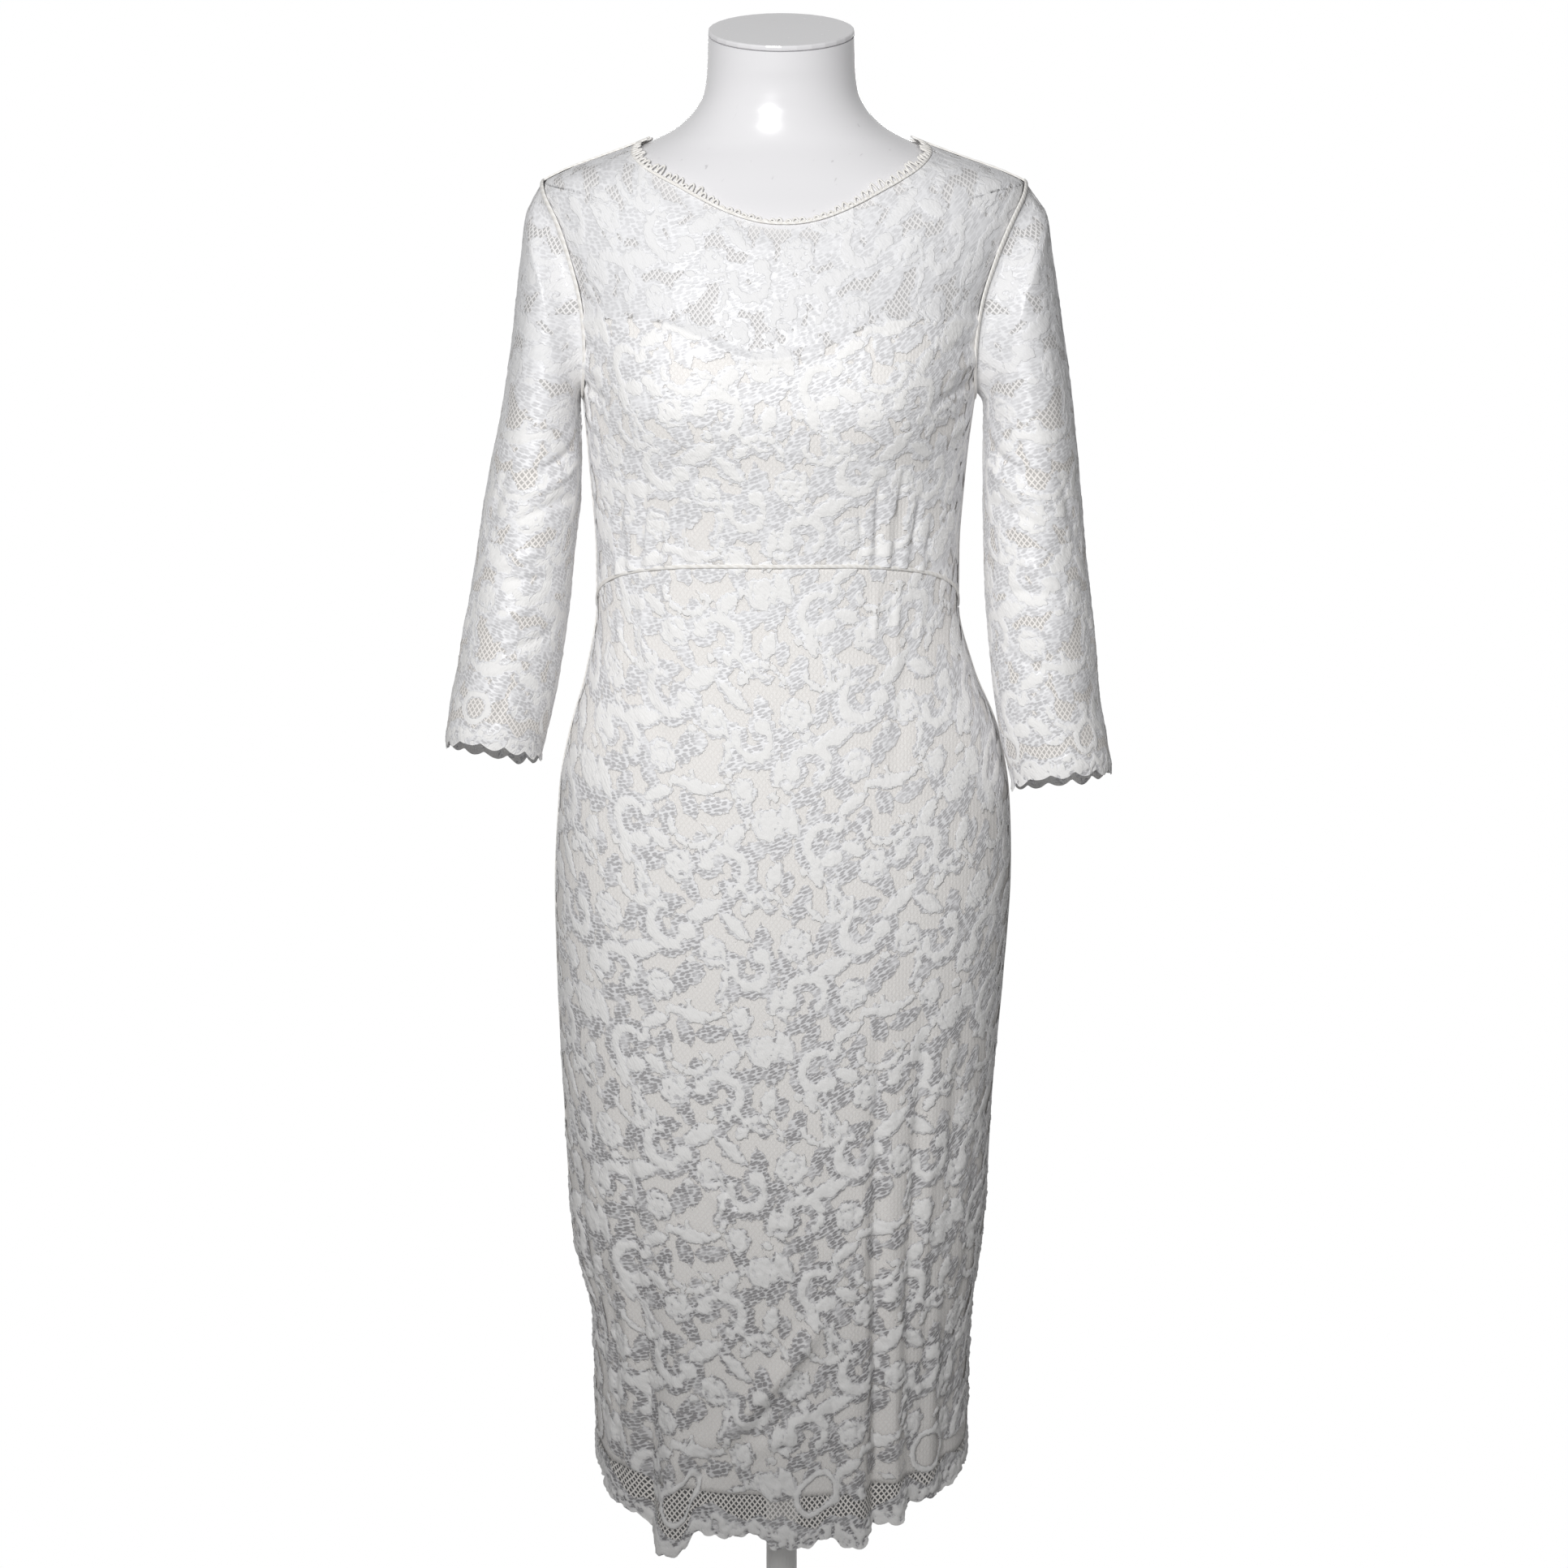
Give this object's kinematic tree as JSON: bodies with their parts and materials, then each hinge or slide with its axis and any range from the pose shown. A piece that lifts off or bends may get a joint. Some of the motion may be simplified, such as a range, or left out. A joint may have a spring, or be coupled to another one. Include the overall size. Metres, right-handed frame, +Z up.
{
  "type": "lace dress on a dress form",
  "caption": "White stretch-lace sheath dress with sweetheart lining, three-quarter sleeves and scalloped hem, on a limbless dress form with a pole stand.",
  "frame": {"origin": "centre of the flat underside of the stand's base, on the floor", "axes": "+Z up along the pole, the dress's front faces -Y, +X is the wearer's left"},
  "size_m": [0.518, 0.33, 1.5517],
  "materials": {
    "white_lace": "white stretch lace with raised cords, flowers and leaves on a fine net",
    "cream_lining_knit": "smooth matte cream knit",
    "white_gloss_plastic": "smooth glossy white plastic",
    "white_painted_steel": "satin white paint on steel"
  },
  "bodies": {
    "root": {"front_bodice": "white_lace", "back_bodice": "white_lace", "front_skirt": "white_lace", "back_skirt": "white_lace", "right_sleeve": "white_lace", "left_sleeve": "white_lace", "front_bodice_lining": "cream_lining_knit", "back_bodice_lining": "cream_lining_knit", "front_skirt_lining": "cream_lining_knit", "back_skirt_lining": "cream_lining_knit", "form_torso": "white_gloss_plastic", "form_neck_cap": "white_gloss_plastic", "stand_collar": "white_painted_steel", "stand_pole": "white_painted_steel", "stand_base": "white_painted_steel"}
  },
  "joints": []
}
